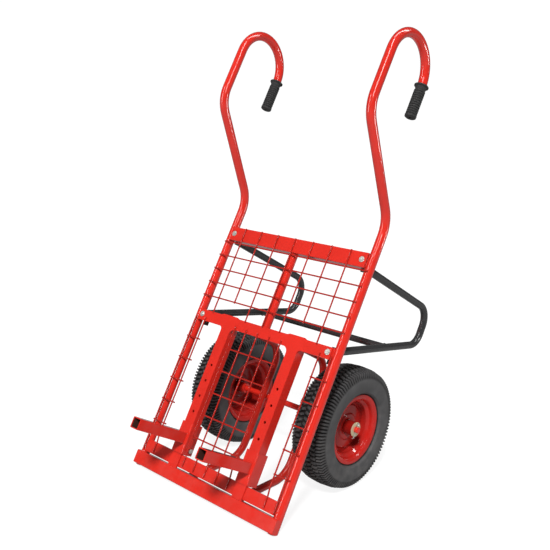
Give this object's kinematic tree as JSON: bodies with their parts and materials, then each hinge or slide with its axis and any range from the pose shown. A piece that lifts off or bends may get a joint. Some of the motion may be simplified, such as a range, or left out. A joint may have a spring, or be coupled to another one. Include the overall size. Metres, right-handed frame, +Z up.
{
  "type": "brick barrow",
  "caption": "Leaning two-wheel brick barrow with wire-mesh back, sliding lift forks, crook handles, pneumatic wheels and bent rest legs.",
  "frame": {"origin": "floor level, in the middle of the object's plan box", "axes": "+X to the right of someone who faces the forks, -Y towards the forks, +Z up"},
  "size_m": [0.646, 0.9382, 1.4473],
  "materials": {
    "red_paint": "gloss",
    "rim_paint": "gloss",
    "black_paint": "satin",
    "grip_rubber": "matte",
    "tyre": "matte",
    "inner_tube": "matte",
    "zinc": "satin",
    "bush": "matte"
  },
  "bodies": {
    "frame": {"top_crossbar": "red_paint", "middle_crossbar": "red_paint", "fork_carrier": "red_paint", "bottom_band": "red_paint", "toe_bar": "red_paint", "centre_stay": "red_paint", "upper_mesh": "red_paint", "lower_mesh_centre": "red_paint", "axle": "red_paint", "leg_crossbar": "black_paint", "side_rail_left": "red_paint", "side_rail_right": "red_paint", "hand_grip_left": "grip_rubber", "hand_grip_right": "grip_rubber", "fork_upright_left": "red_paint", "fork_upright_right": "red_paint", "lower_mesh_left": "red_paint", "lower_mesh_right": "red_paint", "axle_bracket_left": "red_paint", "axle_bracket_right": "red_paint", "axle_washer_left": "zinc", "axle_washer_right": "zinc", "axle_collar_left": "red_paint", "axle_collar_right": "red_paint", "split_pin_left": "zinc", "split_pin_right": "zinc", "rest_leg_left": "black_paint", "rest_leg_right": "black_paint", "leg_bolt_upper_left": "zinc", "leg_bolt_upper_right": "zinc", "leg_nut_upper_left": "zinc", "leg_nut_upper_right": "zinc", "leg_bolt_lower_left": "zinc", "leg_bolt_lower_right": "zinc", "leg_nut_lower_left": "zinc", "leg_nut_lower_right": "zinc"},
    "wheel_left": {"tyre_left": "tyre", "inner_tube_left": "inner_tube", "rim_left": "rim_paint", "wheel_disc_left": "rim_paint", "hub_left": "rim_paint", "hub_bush_outer_left": "bush", "hub_bush_inner_left": "bush", "valve_left": "inner_tube"},
    "fork_left": {"fork_sleeve_left": "red_paint", "fork_tine_left": "red_paint", "lock_nut_left": "red_paint"},
    "lock_screw_left": {"lock_screw_left": "zinc"},
    "wheel_right": {"tyre_right": "tyre", "inner_tube_right": "inner_tube", "rim_right": "rim_paint", "wheel_disc_right": "rim_paint", "hub_right": "rim_paint", "hub_bush_outer_right": "bush", "hub_bush_inner_right": "bush", "valve_right": "inner_tube"},
    "fork_right": {"fork_sleeve_right": "red_paint", "fork_tine_right": "red_paint", "lock_nut_right": "red_paint"},
    "lock_screw_right": {"lock_screw_right": "zinc"}
  },
  "joints": [
    {"name": "wheel_left_spin", "type": "hinge", "parent": "frame", "child": "wheel_left", "pos_m": [-0.247, 0.08638, 0.2], "axis": [1, 0, 0], "continuous": true},
    {"name": "fork_left_slide", "type": "slide", "parent": "frame", "child": "fork_left", "axis": [0, 0.4733, 0.8809], "range_m": [0, 0.2136]},
    {"name": "lock_screw_left_turn", "type": "hinge", "parent": "fork_left", "child": "lock_screw_left", "pos_m": [-0.11, -0.2655, 0.09866], "axis": [1, 0, 0], "range_deg": [0, 360]},
    {"name": "wheel_right_spin", "type": "hinge", "parent": "frame", "child": "wheel_right", "pos_m": [0.247, 0.08638, 0.2], "axis": [1, 0, 0], "continuous": true},
    {"name": "fork_right_slide", "type": "slide", "parent": "frame", "child": "fork_right", "axis": [0, 0.4733, 0.8809], "range_m": [0, 0.2136]},
    {"name": "lock_screw_right_turn", "type": "hinge", "parent": "fork_right", "child": "lock_screw_right", "pos_m": [0.11, -0.2655, 0.09866], "axis": [1, 0, 0], "range_deg": [0, 360]}
  ]
}
